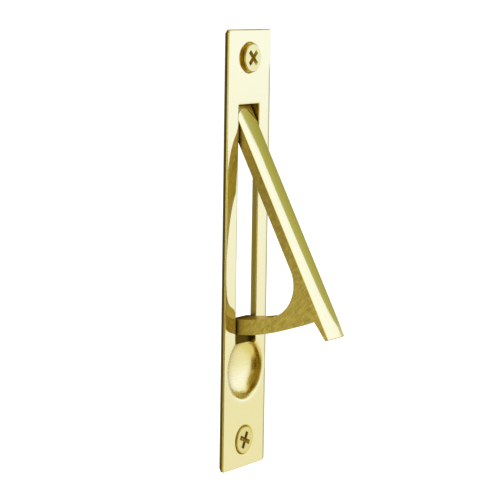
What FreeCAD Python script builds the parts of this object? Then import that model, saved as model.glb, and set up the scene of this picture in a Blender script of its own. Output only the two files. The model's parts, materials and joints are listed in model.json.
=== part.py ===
import FreeCAD, Part
import os
from math import acos, asin, atan2, cos, radians, sin, sqrt, tan

os.makedirs("parts", exist_ok=True)

# Frame: millimetres, Z up, Y into the door edge.
# The origin is the middle of the plate's back, the face that seats in the mortise.

# Face plate
plate_length = 152.4
plate_width = 25.4
plate_thickness = 2.4
plate_corner_radius = 1.3
plate_front_easing = 0.5
plate_back_bevel = 1.2

# Slot for the pull, set out from the plate's upper end
slot_width = 12.2
slot_end_distance = 25.4
slot_corner_radius = 0.4
slot_front_easing = 0.35

# Finger scoop, set out from the plate's lower end, with the slot running into its top
scoop_half_width = 9.8
scoop_half_height = 10.4
scoop_end_distance = 35.1
scoop_depth = 5.7
scoop_lip_radius = 1.1
scoop_wall = 0.95
scoop_slot_lap = 2.1

# Pivot, set out from the slot's upper end and the plate's front
pivot_drop = 6.6
pivot_depth = 3.7
pin_radius = 0.9
pin_lug_clearance = 0.02
pin_running_clearance = 0.05
lug_thickness = 0.9
lug_radius = 1.55
lug_foot_spread = 1.4
housing_roof = 1.7

# Pull lever
lever_width = 10.6
lever_thickness = 3.5
lever_crown = 0.5
lever_open_angle = 27.8
head_radius = 5.85
hub_radius = 2.3
hub_side_clearance = 0.2
crown_end_drop = 0.55
crown_end_rise = 4.2
crown_sink = 0.3
arm_end_clearance = 4.2
arm_thickness = 5.3
grip_fillet = 11.8
tip_overhang = 8.4
tip_root_thickness = 2.6
tip_end_thickness = 1.2
tip_crook_radius = 0.9
tip_sweep_length = 14.2
tip_sweep_drop = 0.36
tip_sweep_lead = 5.0
tip_sweep_lead_gap = 0.035

# Stop toe on the tail of the arm, which meets the back of the scoop's cup when the lever is open
stop_gap = 0.15
foot_recess = 1.9
foot_thickness = 2.6
foot_top_inset = 0.8
foot_side_clearance = 0.25
foot_slot_end_clearance = 0.3
toe_lap = 2.0
toe_width = 7.0
toe_thickness = 1.5

# Screws
screw_end_distance = 9.6
screw_head_diameter = 9.8
screw_head_rim = 0.5
screw_head_edge = 0.3
screw_head_height = 2.2
screw_cone_angle = 82.0
screw_neck_diameter = 3.6
screw_shank_diameter = 4.0
screw_length = 9.5
screw_point = 1.2
screw_point_diameter = 2.56
screw_hole_clearance = 0.25
countersink_lip_width = 0.85
countersink_lip_depth = 0.4
upper_screw_stand = 1.4
lower_screw_stand = 0.3
upper_screw_turn = 45.0
lower_screw_turn = 25.0
recess_span = 5.6
recess_wing = 1.15
recess_depth = 1.9
recess_floor_span = 3.08
recess_core_diameter = 2.42
recess_core_floor_diameter = 1.38
recess_core_depth = 2.4

# How far a cutting body runs past the face that it cuts
cut_margin = 1.0

X_AXIS = FreeCAD.Vector(1, 0, 0)
Y_AXIS = FreeCAD.Vector(0, 1, 0)

# Levels that follow from the sizes above
front_y = -plate_thickness
slot_half = slot_width / 2
lever_half = lever_width / 2
slot_top_z = plate_length / 2 - slot_end_distance
scoop_centre_z = scoop_end_distance - plate_length / 2
slot_bottom_z = scoop_centre_z + scoop_half_height - scoop_slot_lap
pivot_y = front_y + pivot_depth
pivot_z = slot_top_z - pivot_drop
pivot = FreeCAD.Vector(0, pivot_y, pivot_z)
arm_outer_radius = pivot_z - slot_bottom_z - arm_end_clearance
arm_inner_radius = arm_outer_radius - arm_thickness
lever_reach = arm_outer_radius + tip_overhang
tip_sweep_start = lever_reach - tip_sweep_length


def vec(x, y, z):
    return FreeCAD.Vector(x, y, z)


def at_pivot(u, w):
    # A point of the closed lever's side profile: u into the door and w up, both from the pivot.
    return vec(0, pivot_y + u, pivot_z + w)


def line(a, b):
    return Part.makeLine(a, b)


def arc(a, mid, b):
    return Part.Arc(a, mid, b).toShape()


def prism_across(edges, half_width):
    # A solid with the given side profile, as wide as twice half_width and centred on X = 0.
    wire = Part.Wire(edges)
    wire.translate(vec(-half_width, 0, 0))
    return Part.Face(wire).extrude(vec(2 * half_width, 0, 0))


def rounded_box_across_front(width, z_low, z_high, y_near, y_far, radius):
    # A block with its four corners rounded as seen from the front.
    half = width / 2
    flat = half - radius
    bulge = half - radius * (1 - sqrt(0.5))
    rise = radius * (1 - sqrt(0.5))

    def at(x, z):
        return vec(x, y_near, z)

    edges = [
        line(at(-flat, z_low), at(flat, z_low)),
        arc(at(flat, z_low), at(bulge, z_low + rise), at(half, z_low + radius)),
        line(at(half, z_low + radius), at(half, z_high - radius)),
        arc(at(half, z_high - radius), at(bulge, z_high - rise), at(flat, z_high)),
        line(at(flat, z_high), at(-flat, z_high)),
        arc(at(-flat, z_high), at(-bulge, z_high - rise), at(-half, z_high - radius)),
        line(at(-half, z_high - radius), at(-half, z_low + radius)),
        arc(at(-half, z_low + radius), at(-bulge, z_low + rise), at(-flat, z_low)),
    ]
    return Part.Face(Part.Wire(edges)).extrude(vec(0, y_far - y_near, 0))


def stretched(shape, factor_z, z_centre):
    # The shape stretched in Z about a level.
    matrix = FreeCAD.Matrix()
    matrix.move(vec(0, 0, -z_centre))
    matrix.scale(vec(1, 1, factor_z))
    matrix.move(vec(0, 0, z_centre))
    return shape.transformGeometry(matrix)


def edges_on_level(shape, y, half_width):
    # The edges whose ends lie at a level and no further to either side than half_width.
    picked = []
    for edge in shape.Edges:
        ends = edge.Vertexes
        if all(abs(end.Y - y) < 1e-6 and abs(end.X) < half_width + 1e-6 for end in ends):
            picked.append(edge)
    return picked


# Face plate blank with eased front edge and relieved back edge
plate_half = plate_length / 2
plate = rounded_box_across_front(plate_width, -plate_half, plate_half, front_y, 0, plate_corner_radius)
plate = plate.makeFillet(plate_front_easing, edges_on_level(plate, front_y, plate_width / 2))
plate = plate.makeChamfer(plate_back_bevel, edges_on_level(plate, 0, plate_width / 2))

# Cup that carries the scoop behind the plate: half an oval bowl that starts inside the plate
scoop_ratio = scoop_half_height / scoop_half_width
cup_radius = scoop_half_width + scoop_wall
cup_depth = scoop_depth + scoop_wall
cup_half_height = scoop_half_height + scoop_wall
cup_matrix = FreeCAD.Matrix()
cup_matrix.scale(vec(1, cup_depth / cup_radius, cup_half_height / cup_radius))
cup_matrix.move(vec(0, front_y, scoop_centre_z))
cup = Part.makeSphere(cup_radius, vec(0, 0, 0)).transformGeometry(cup_matrix)
cup_keep = Part.makeBox(4 * cup_radius, 2 * cup_depth, 4 * cup_half_height)
cup_keep.translate(vec(-2 * cup_radius, -plate_thickness / 2, scoop_centre_z - 2 * cup_half_height))
cup = cup.common(cup_keep)
plate = plate.fuse(cup).removeSplitter()

# Slot, cut through the plate and the top of the cup, with its front edge eased
above = front_y - cut_margin
slot_far = cup_depth + cut_margin
slot = rounded_box_across_front(slot_width, slot_bottom_z, slot_top_z, above, slot_far, slot_corner_radius)
plate = plate.cut(slot)
plate = plate.makeFillet(slot_front_easing, edges_on_level(plate, front_y, slot_half))

# Scoop with a rolled lip: a turned dish stretched to an oval
dish_floor = scoop_depth - scoop_lip_radius
lip_outer = scoop_half_width + scoop_lip_radius
lip_y = front_y + scoop_lip_radius
lip_k = scoop_lip_radius * (1 - sqrt(0.5))
dish_oval = Part.Ellipse(vec(0, lip_y, scoop_centre_z), scoop_half_width, dish_floor)
dish_curve = Part.ArcOfEllipse(dish_oval, 0, radians(90))
dish_edges = [
    line(vec(0, above, scoop_centre_z), vec(lip_outer, above, scoop_centre_z)),
    line(vec(lip_outer, above, scoop_centre_z), vec(lip_outer, front_y, scoop_centre_z)),
    arc(vec(lip_outer, front_y, scoop_centre_z),
        vec(scoop_half_width + lip_k, front_y + lip_k, scoop_centre_z),
        vec(scoop_half_width, lip_y, scoop_centre_z)),
    dish_curve.toShape(),
    line(vec(0, front_y + scoop_depth, scoop_centre_z), vec(0, above, scoop_centre_z)),
]
dish = Part.Face(Part.Wire(dish_edges)).revolve(vec(0, 0, scoop_centre_z), Y_AXIS, 360)
dish = stretched(dish, scoop_ratio, scoop_centre_z)
plate = plate.cut(dish)

# Hinge housing behind the slot's upper end: a lug each side, joined over the lever's head
lug_back = pivot_y + lug_radius
lug_spread = lug_radius + lug_foot_spread
housing_sink = -plate_thickness / 2
housing_half = slot_half + lug_thickness
housing_top = slot_top_z + housing_roof
roof_rise = housing_roof * (1 - sqrt(0.5))
flank = atan2(-lug_spread, -pivot_y) + acos(lug_radius / sqrt(pivot_y ** 2 + lug_spread ** 2))
flank_point = vec(0, pivot_y + lug_radius * cos(flank), pivot_z + lug_radius * sin(flank))
flank_mid = vec(0, pivot_y + lug_radius * cos(flank / 2), pivot_z + lug_radius * sin(flank / 2))
lug_foot = vec(0, 0, pivot_z - lug_spread)
lug_root = vec(0, housing_sink, pivot_z - lug_spread)
roof_root = vec(0, housing_sink, housing_top)
roof_back = vec(0, lug_back - housing_roof, housing_top)
roof_low = vec(0, lug_back, slot_top_z)
housing = prism_across([
    line(lug_root, lug_foot),
    line(lug_foot, flank_point),
    arc(flank_point, flank_mid, vec(0, lug_back, pivot_z)),
    line(vec(0, lug_back, pivot_z), roof_low),
    arc(roof_low, vec(0, lug_back - roof_rise, housing_top - roof_rise), roof_back),
    line(roof_back, roof_root),
    line(roof_root, lug_root),
], housing_half)
plate = plate.fuse(housing.cut(slot)).removeSplitter()

# Pin hole through both lugs, and the pivot pin, flush with their outer faces
pin_length = slot_width + 2 * lug_thickness
pin_start = vec(-pin_length / 2, pivot_y, pivot_z)
plate = plate.cut(Part.makeCylinder(pin_radius + pin_lug_clearance, pin_length, pin_start, X_AXIS))
pivot_pin = Part.makeCylinder(pin_radius, pin_length, pin_start, X_AXIS)

# Screw holes and screws
cone_slope = tan(radians(screw_cone_angle / 2))
screw_head_radius = screw_head_diameter / 2
neck_radius = screw_neck_diameter / 2
shank_radius = screw_shank_diameter / 2


def turned(points, z):
    # A solid turned about the screw axis from (radius, y) points.
    ring = [vec(r, y, z) for r, y in points]
    ring.append(ring[0])
    return Part.Face(Part.makePolygon(ring)).revolve(vec(0, 0, z), Y_AXIS, 360)


def screw_hole(z, stand):
    # Countersink that the head's cone seats on, with a softened lip and a clear hole behind.
    rim_y = front_y - stand + screw_head_rim
    hole_radius = shank_radius + screw_hole_clearance
    throat_y = rim_y + (screw_head_radius - hole_radius) / cone_slope
    hole_end = throat_y + 2 * plate_thickness
    cone_radius = screw_head_radius + (rim_y - above) * cone_slope
    cone = turned([(0, above), (cone_radius, above), (hole_radius, throat_y), (0, throat_y)], z)
    bore = Part.makeCylinder(hole_radius, hole_end - above, vec(0, above, z), Y_AXIS)
    lip_radius = screw_head_radius + countersink_lip_width
    lip_y = front_y + countersink_lip_depth
    lip_turn = 2 * atan2(countersink_lip_depth, countersink_lip_width)
    roll = countersink_lip_width / sin(lip_turn)
    lip_mid = (lip_radius - roll * sin(lip_turn / 2), front_y + roll * (1 - cos(lip_turn / 2)))
    lip = turned([(0, above), (lip_radius, above), (lip_radius, front_y), lip_mid,
                  (screw_head_radius, lip_y), (0, lip_y)], z)
    reach = Part.makeCylinder(lip_radius, hole_end - above, vec(0, above, z), Y_AXIS)
    return cone.common(reach).fuse([bore, lip])


def cross_recess(y_face, z, turn):
    # Four tapered wings about a tapered core.
    half_top = recess_span / 2
    half_low = recess_floor_span / 2
    wing = recess_wing / 2
    low = y_face + recess_depth
    blade_points = [vec(-half_top, y_face, z - wing), vec(half_top, y_face, z - wing),
                    vec(half_low, low, z - wing), vec(-half_low, low, z - wing)]
    blade_points.append(blade_points[0])
    blade = Part.Face(Part.makePolygon(blade_points)).extrude(vec(0, 0, recess_wing))
    other = blade.copy()
    other.rotate(vec(0, 0, z), Y_AXIS, 90)
    core = Part.makeCone(recess_core_diameter / 2, recess_core_floor_diameter / 2, recess_core_depth,
                         vec(0, y_face, z), Y_AXIS)
    recess = blade.fuse([other, core]).removeSplitter()
    recess.rotate(vec(0, 0, z), Y_AXIS, turn)
    return recess


def flat_head_screw(z, stand, turn):
    # A short screw with an undercut head, a neck inside the plate and its shank behind the plate's back.
    face_y = front_y - stand
    rim_y = face_y + screw_head_rim
    undercut_y = face_y + screw_head_height
    undercut_radius = screw_head_radius - (undercut_y - rim_y) * cone_slope
    end_y = face_y + screw_length
    body = turned([
        (0, face_y),
        (screw_head_radius - screw_head_edge, face_y),
        (screw_head_radius, face_y + screw_head_edge),
        (screw_head_radius, rim_y),
        (undercut_radius, undercut_y),
        (neck_radius, undercut_y),
        (neck_radius, 0),
        (shank_radius, 0),
        (shank_radius, end_y - screw_point),
        (screw_point_diameter / 2, end_y),
        (0, end_y),
    ], z)
    return body.cut(cross_recess(face_y, z, turn))


upper_z = plate_half - screw_end_distance
lower_z = screw_end_distance - plate_half
plate = plate.cut(screw_hole(upper_z, upper_screw_stand))
face_plate = plate.cut(screw_hole(lower_z, lower_screw_stand))
upper_screw = flat_head_screw(upper_z, upper_screw_stand, upper_screw_turn)
lower_screw = flat_head_screw(lower_z, lower_screw_stand, lower_screw_turn)

# Pull lever, drawn closed in the slot and then swung open
edge_u = lever_crown - pivot_depth
crest_u = -pivot_depth
back_u = edge_u + lever_thickness
head_front_w = sqrt(head_radius ** 2 - edge_u ** 2)
head_mid_turn = asin(edge_u / head_radius) / 2
head_back_turn = asin(hub_radius / head_radius)
hub_w = -sqrt(hub_radius ** 2 - back_u ** 2)
hub_mid = (head_back_turn + atan2(hub_w, back_u)) / 2
grip_u = back_u + grip_fillet
grip_span = arm_inner_radius - grip_fillet
grip_w = -sqrt(grip_span ** 2 - grip_u ** 2)
grip_on_arm = (grip_u * arm_inner_radius / grip_span, grip_w * arm_inner_radius / grip_span)
grip_mid_angle = (radians(180) + atan2(grip_w, grip_u) + radians(360)) / 2
grip_mid = (grip_u + grip_fillet * cos(grip_mid_angle), grip_w + grip_fillet * sin(grip_mid_angle))
foot_front_y = front_y + foot_recess
foot_mid_y = foot_front_y + foot_thickness / 2
tail_turn = radians(lever_open_angle) + asin((foot_mid_y - pivot_y) / arm_outer_radius)
head_mid = (head_radius * sin(head_mid_turn), head_radius * cos(head_mid_turn))
head_back = (hub_radius * cos(head_back_turn), hub_radius * sin(head_back_turn))
hub_side = (hub_radius * cos(hub_mid), hub_radius * sin(hub_mid))


def on_arm(radius, turn):
    # A point of the closed arm: turn is measured from straight down towards the door's inside.
    return at_pivot(radius * sin(turn), -radius * cos(turn))


grip_turn = atan2(grip_on_arm[0], -grip_on_arm[1])
tip_root_u = edge_u + tip_root_thickness
tip_root_w = -sqrt(arm_outer_radius ** 2 - tip_root_u ** 2)
root_turn = atan2(tip_root_u, -tip_root_w)
tip_end_u = edge_u + tip_end_thickness
lever_edges = [
    line(at_pivot(edge_u, -lever_reach), at_pivot(edge_u, head_front_w)),
    arc(at_pivot(edge_u, head_front_w), at_pivot(*head_mid), at_pivot(0, head_radius)),
    line(at_pivot(0, head_radius), at_pivot(*head_back)),
    arc(at_pivot(*head_back), at_pivot(*hub_side), at_pivot(back_u, hub_w)),
    line(at_pivot(back_u, hub_w), at_pivot(back_u, grip_w)),
    arc(at_pivot(back_u, grip_w), at_pivot(*grip_mid), at_pivot(*grip_on_arm)),
    arc(at_pivot(*grip_on_arm), on_arm(arm_inner_radius, (grip_turn + tail_turn) / 2),
        on_arm(arm_inner_radius, tail_turn)),
    line(on_arm(arm_inner_radius, tail_turn), on_arm(arm_outer_radius, tail_turn)),
    arc(on_arm(arm_outer_radius, tail_turn), on_arm(arm_outer_radius, (root_turn + tail_turn) / 2),
        on_arm(arm_outer_radius, root_turn)),
    line(on_arm(arm_outer_radius, root_turn), at_pivot(tip_end_u, -lever_reach)),
    line(at_pivot(tip_end_u, -lever_reach), at_pivot(edge_u, -lever_reach)),
]
lever = prism_across(lever_edges, lever_half)


def crook_edges(shape):
    # The inside corner where the arm leaves the tip.
    corner = on_arm(arm_outer_radius, root_turn)
    near = tip_crook_radius / 10
    picked = []
    for edge in shape.Edges:
        box = edge.BoundBox
        across = box.XLength > lever_width - near
        if across and abs(box.YMin - corner.y) < near and abs(box.ZMin - corner.z) < near:
            picked.append(edge)
    return picked


lever = lever.makeFillet(tip_crook_radius, crook_edges(lever))

# Crowned front of the lever: a low arch that ends in a half round at the head and sweeps back at the tip
low_z = pivot_z - lever_reach
sunk_u = edge_u + crown_sink
crown_left = vec(-lever_half, pivot_y + edge_u, low_z)
crown_crest = vec(0, pivot_y + crest_u, low_z)
crown_right = vec(lever_half, pivot_y + edge_u, low_z)
sunk_left = vec(-lever_half, pivot_y + sunk_u, low_z)
sunk_right = vec(lever_half, pivot_y + sunk_u, low_z)
crown_face = Part.Face(Part.Wire([
    arc(crown_left, crown_crest, crown_right),
    line(crown_right, sunk_right),
    line(sunk_right, sunk_left),
    line(sunk_left, crown_left),
]))
crown = crown_face.extrude(vec(0, 0, lever_reach + head_radius))
clear_u = crest_u - cut_margin
lead_w = tip_sweep_lead - tip_sweep_start
crown_side = prism_across([
    line(at_pivot(clear_u, head_radius), at_pivot(clear_u, lead_w)),
    line(at_pivot(clear_u, lead_w), at_pivot(crest_u - tip_sweep_lead_gap, lead_w)),
    arc(at_pivot(crest_u - tip_sweep_lead_gap, lead_w), at_pivot(crest_u, -tip_sweep_start),
        at_pivot(crest_u + tip_sweep_drop, -lever_reach)),
    line(at_pivot(crest_u + tip_sweep_drop, -lever_reach), at_pivot(sunk_u, -lever_reach)),
    line(at_pivot(sunk_u, -lever_reach), at_pivot(sunk_u, head_radius)),
    line(at_pivot(sunk_u, head_radius), at_pivot(clear_u, head_radius)),
], lever_half)
arch_z = pivot_z - crown_end_drop
arch_y = pivot_y + crest_u - cut_margin
crown_plan = Part.Face(Part.Wire([
    line(vec(-lever_half, arch_y, low_z), vec(lever_half, arch_y, low_z)),
    line(vec(lever_half, arch_y, low_z), vec(lever_half, arch_y, arch_z)),
    arc(vec(lever_half, arch_y, arch_z), vec(0, arch_y, arch_z + crown_end_rise),
        vec(-lever_half, arch_y, arch_z)),
    line(vec(-lever_half, arch_y, arch_z), vec(-lever_half, arch_y, low_z)),
])).extrude(vec(0, lever_crown + 2 * cut_margin, 0))
crown = crown.common(crown_side).common(crown_plan)
lever = lever.fuse(crown)

# Hub bosses that centre the lever between the lugs, and the running bore
boss_half = slot_half - hub_side_clearance
boss = Part.makeCylinder(hub_radius, 2 * boss_half, vec(-boss_half, pivot_y, pivot_z), X_AXIS)
lever = lever.fuse(boss)
bore_radius = pin_radius + pin_running_clearance
bore_start = vec(-2 * boss_half, pivot_y, pivot_z)
lever = lever.cut(Part.makeCylinder(bore_radius, 4 * boss_half, bore_start, X_AXIS))

# Swing open about the pivot
lever.rotate(pivot, X_AXIS, -lever_open_angle)

# Stop toe: the arm's tail fills the slot's lower end, and a narrow toe reaches down behind the scoop's cup
foot_half = slot_half - foot_side_clearance
foot_back_y = foot_front_y + foot_thickness
foot_top = pivot_z - arm_inner_radius - foot_top_inset
foot_low = slot_bottom_z + foot_slot_end_clearance
foot_corner = vec(-foot_half, foot_front_y, foot_low)
foot = Part.makeBox(2 * foot_half, foot_thickness, foot_top - foot_low, foot_corner)
toe_low = slot_bottom_z - toe_lap
cup_back_y = front_y + cup_depth * sqrt(1 - ((toe_low - scoop_centre_z) / cup_half_height) ** 2)
toe_front_y = cup_back_y + stop_gap
toe_back_y = toe_front_y + toe_thickness
toe_points = [
    vec(0, foot_front_y, foot_top),
    vec(0, foot_front_y, foot_low),
    vec(0, toe_front_y, foot_low),
    vec(0, toe_front_y, toe_low),
    vec(0, toe_back_y, toe_low),
    vec(0, toe_back_y, foot_low),
    vec(0, foot_back_y, foot_top),
]
toe_edges = [line(a, b) for a, b in zip(toe_points, toe_points[1:] + toe_points[:1])]
toe = prism_across(toe_edges, toe_width / 2)
pull_lever = lever.fuse([foot, toe])

pieces = {
    "face_plate": face_plate,
    "pull_lever": pull_lever,
    "pivot_pin": pivot_pin,
    "upper_screw": upper_screw,
    "lower_screw": lower_screw,
}
for name, shape in pieces.items():
    solid = shape.Solids[0] if len(shape.Solids) == 1 else shape
    solid.exportStep("parts/" + name + ".step")
    print(name, len(shape.Solids), solid.isValid(), round(solid.Volume, 1), solid.BoundBox)
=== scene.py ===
import json
from math import atan2, cos, pi, radians, sin, tau

import bpy
from bpy.props import FloatProperty, FloatVectorProperty, PointerProperty
from mathutils import Matrix, Vector

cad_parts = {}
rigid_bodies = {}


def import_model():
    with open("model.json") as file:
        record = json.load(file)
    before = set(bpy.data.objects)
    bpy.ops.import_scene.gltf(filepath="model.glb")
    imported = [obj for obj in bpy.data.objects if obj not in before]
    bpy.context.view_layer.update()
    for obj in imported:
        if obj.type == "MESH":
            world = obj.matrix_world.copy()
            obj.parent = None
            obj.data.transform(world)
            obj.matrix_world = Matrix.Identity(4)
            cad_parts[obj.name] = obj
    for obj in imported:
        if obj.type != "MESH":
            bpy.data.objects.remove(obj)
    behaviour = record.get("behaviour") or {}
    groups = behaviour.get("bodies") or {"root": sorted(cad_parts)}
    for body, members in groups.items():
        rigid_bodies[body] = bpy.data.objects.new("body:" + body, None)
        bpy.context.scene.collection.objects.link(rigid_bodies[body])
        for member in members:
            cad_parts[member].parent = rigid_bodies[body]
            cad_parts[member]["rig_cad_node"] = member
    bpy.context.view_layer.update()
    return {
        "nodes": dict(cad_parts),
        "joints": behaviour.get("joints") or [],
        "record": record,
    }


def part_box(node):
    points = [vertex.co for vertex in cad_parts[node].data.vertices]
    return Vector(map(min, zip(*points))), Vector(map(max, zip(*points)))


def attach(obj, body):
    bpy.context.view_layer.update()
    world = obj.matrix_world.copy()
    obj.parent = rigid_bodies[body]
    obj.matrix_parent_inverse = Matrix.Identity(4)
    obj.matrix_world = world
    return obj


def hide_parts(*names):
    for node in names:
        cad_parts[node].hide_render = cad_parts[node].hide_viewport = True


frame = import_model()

bl_info = {
    "name": "Pocket door edge pull",
    "version": (1, 0, 0),
    "blender": (4, 5, 0),
    "location": "View3D > Sidebar > Edge Pull",
    "description": "Finishes the brass edge pull of a pocket door and sets its studio",
    "category": "Object",
}

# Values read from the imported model
PLATE_LOW, PLATE_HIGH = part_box("face_plate")
PLATE_FRONT = PLATE_LOW[1]
PLATE_HALF_WIDTH = PLATE_HIGH[0]
SWING = frame["joints"][0]
PIVOT = Vector(SWING["pos_m"])
OPEN_ANGLE = radians(SWING["range_deg"][1] - SWING["range_deg"][0])
SCREW_PATTERN = next(m for m in frame["record"]["mounts"] if m["name"] == "screws")["dims"]
SCREW_HEIGHT = SCREW_PATTERN["spacing_y_mm"] / 2000
SHANK_RADIUS = SCREW_PATTERN["stud_r_mm"] / 1000

# Units and directions on the pull
MM = 0.001
MICRON = 0.000001
FRONT = (0, -1, 0)
BACK = (0, 1, 0)
LEFT = (-1, 0, 0)
RIGHT = (1, 0, 0)
UP = (0, 0, 1)
LEVER_FRONT = (0, -cos(OPEN_ANGLE), sin(OPEN_ANGLE))

# Half of the width over which one finish runs into the next
SOFT = 0.1 * MM

# Heights between which the slot's edges are rolled
SLOT_LOW = -30 * MM
SLOT_HIGH = 50.5 * MM

# Angles between facets: up to the first they are one flat, up to the others they shade smooth
FLAT_ANGLE = radians(0.05)
CASTING_ANGLE = radians(28)
THREAD_ANGLE = radians(35)


# Sizes and colours that a user would change

class BrassFinish(bpy.types.PropertyGroup):
    """Colours and polish of the brass"""

    polished: FloatVectorProperty(
        name="Polished brass", description="Colour of the buffed and lacquered faces",
        subtype="COLOR", size=3, min=0, max=1, default=(0.88, 0.82, 0.54))
    cast: FloatVectorProperty(
        name="Cast brass", description="Colour of the sand-cast sides that were left unpolished",
        subtype="COLOR", size=3, min=0, max=1, default=(0.79, 0.63, 0.15))
    # The brown of real grain, pits and file marks; it also serves as painted shade in the slot, on the
    # plate's sides, inside the hinge housing, on the scoop's right wall, on the lever in the slot and toward
    # its head, and round the screw heads
    tarnish_and_shade: FloatVectorProperty(
        name="Tarnish", description="Colour of the brown skin in recesses and grain",
        subtype="COLOR", size=3, min=0, max=1, default=(0.22, 0.14, 0.02))
    gold: FloatVectorProperty(
        name="Gold brass", description="Colour of the lever's rounded end and of the rims round the screws",
        subtype="COLOR", size=3, min=0, max=1, default=(0.86, 0.67, 0.13))
    screw: FloatVectorProperty(
        name="Screw brass", description="Colour of the screws' bright faces",
        subtype="COLOR", size=3, min=0, max=1, default=(0.77, 0.70, 0.36))
    satin: FloatVectorProperty(
        name="Satin brass", description="Colour inside the finger scoop",
        subtype="COLOR", size=3, min=0, max=1, default=(0.90, 0.83, 0.52))
    grazing: FloatVectorProperty(
        name="Grazing tint", description="Tint of the lever's brass where it is seen at a flat angle",
        subtype="COLOR", size=3, min=0, max=1, default=(1.0, 0.85, 0.5))
    mirror_roughness: FloatProperty(
        name="Mirror roughness", description="Roughness of the buffed faces",
        subtype="FACTOR", min=0, max=1, default=0.05)
    satin_roughness: FloatProperty(
        name="Satin roughness", description="Roughness inside the finger scoop; the grip is a little rougher",
        subtype="FACTOR", min=0, max=1, default=0.25)
    cast_roughness: FloatProperty(
        name="Cast roughness", description="Roughness of the unpolished sides",
        subtype="FACTOR", min=0, max=1, default=0.46)
    pillow: FloatProperty(
        name="Pillow", description="How far buffing has rounded the plate's face off at its edges",
        unit="LENGTH", default=0.00037)
    rolled_edge: FloatProperty(
        name="Rolled edge", description="How far buffing has rolled the slot's edges over",
        unit="LENGTH", default=0.00015)
    rolled_lip: FloatProperty(
        name="Rolled lip", description="How far buffing has rolled the scoop's edge over",
        unit="LENGTH", default=0.00025)
    slot_half_width: FloatProperty(
        name="Slot half width", description="Half of the slot's width",
        unit="LENGTH", default=0.0061)
    countersink_radius: FloatProperty(
        name="Countersink radius", description="Radius of the rolled lip round a screw",
        unit="LENGTH", default=0.00575)
    screw_face_radius: FloatProperty(
        name="Screw face radius", description="Radius of the bright face of a screw's head",
        unit="LENGTH", default=0.0046)
    lever_edge: FloatProperty(
        name="Lever edge", description="Distance from the lever's middle to its front's left edge",
        unit="LENGTH", default=0.0053)
    crown_end_radius: FloatProperty(
        name="Crown end radius", description="Radius of the half round that ends the lever's crown",
        unit="LENGTH", default=0.00544)
    crown_end_centre: FloatProperty(
        name="Crown end centre", description="Its centre, from the pivot along the lever",
        unit="LENGTH", default=-0.00179)
    scoop_height: FloatProperty(
        name="Scoop height", description="Height of the scoop's middle on the plate",
        unit="LENGTH", default=-0.0411)
    scoop_half_width: FloatProperty(
        name="Scoop half width", description="Half of the scoop's width",
        unit="LENGTH", default=0.0098)
    scoop_half_height: FloatProperty(
        name="Scoop half height", description="Half of the scoop's height",
        unit="LENGTH", default=0.0104)


class DetailSizes(bpy.types.PropertyGroup):
    """Sizes of details that the castings have only in the look"""

    roof_radius: FloatProperty(
        name="Roof radius", description="Radius about the pivot of the roof over the lever's head",
        unit="LENGTH", default=0.00595)
    roof_thickness: FloatProperty(
        name="Roof thickness", description="Thickness of that roof",
        unit="LENGTH", default=0.0009)
    roof_front: FloatProperty(
        name="Roof front", description="Where it starts, as an angle behind the upright",
        unit="ROTATION", default=radians(-6))
    roof_back: FloatProperty(
        name="Roof back", description="Where it ends, as an angle behind the upright",
        unit="ROTATION", default=radians(19))
    cross_length: FloatProperty(
        name="Cross length", description="How much longer the arms of a screw's worn cross are than new ones",
        subtype="FACTOR", min=1, max=1.3, default=1.1)
    cross_width: FloatProperty(
        name="Cross width", description="How much wider the arms of a screw's worn cross are than new ones",
        subtype="FACTOR", min=1, max=1.6, default=1.4)
    upper_turn: FloatProperty(
        name="Upper turn", description="Angle that the upper screw's cross was turned to",
        unit="ROTATION", default=radians(45))
    lower_turn: FloatProperty(
        name="Lower turn", description="Angle that the lower screw's cross was turned to",
        unit="ROTATION", default=radians(25))


class ThreadSizes(bpy.types.PropertyGroup):
    """Sizes of the wood-screw threads"""

    pitch: FloatProperty(
        name="Pitch", description="Distance from one turn of thread to the next",
        unit="LENGTH", default=0.00195)
    crest_radius: FloatProperty(
        name="Crest radius", description="Radius at the thread's crest",
        unit="LENGTH", default=0.0024)
    root_width: FloatProperty(
        name="Root width", description="Width of the thread where it leaves the shank",
        unit="LENGTH", default=0.0011)
    start: FloatProperty(
        name="Start", description="Distance behind the plate at which the thread starts",
        unit="LENGTH", default=0.0009)
    turns: FloatProperty(
        name="Turns", description="Number of turns of the thread", default=2.0)


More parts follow.
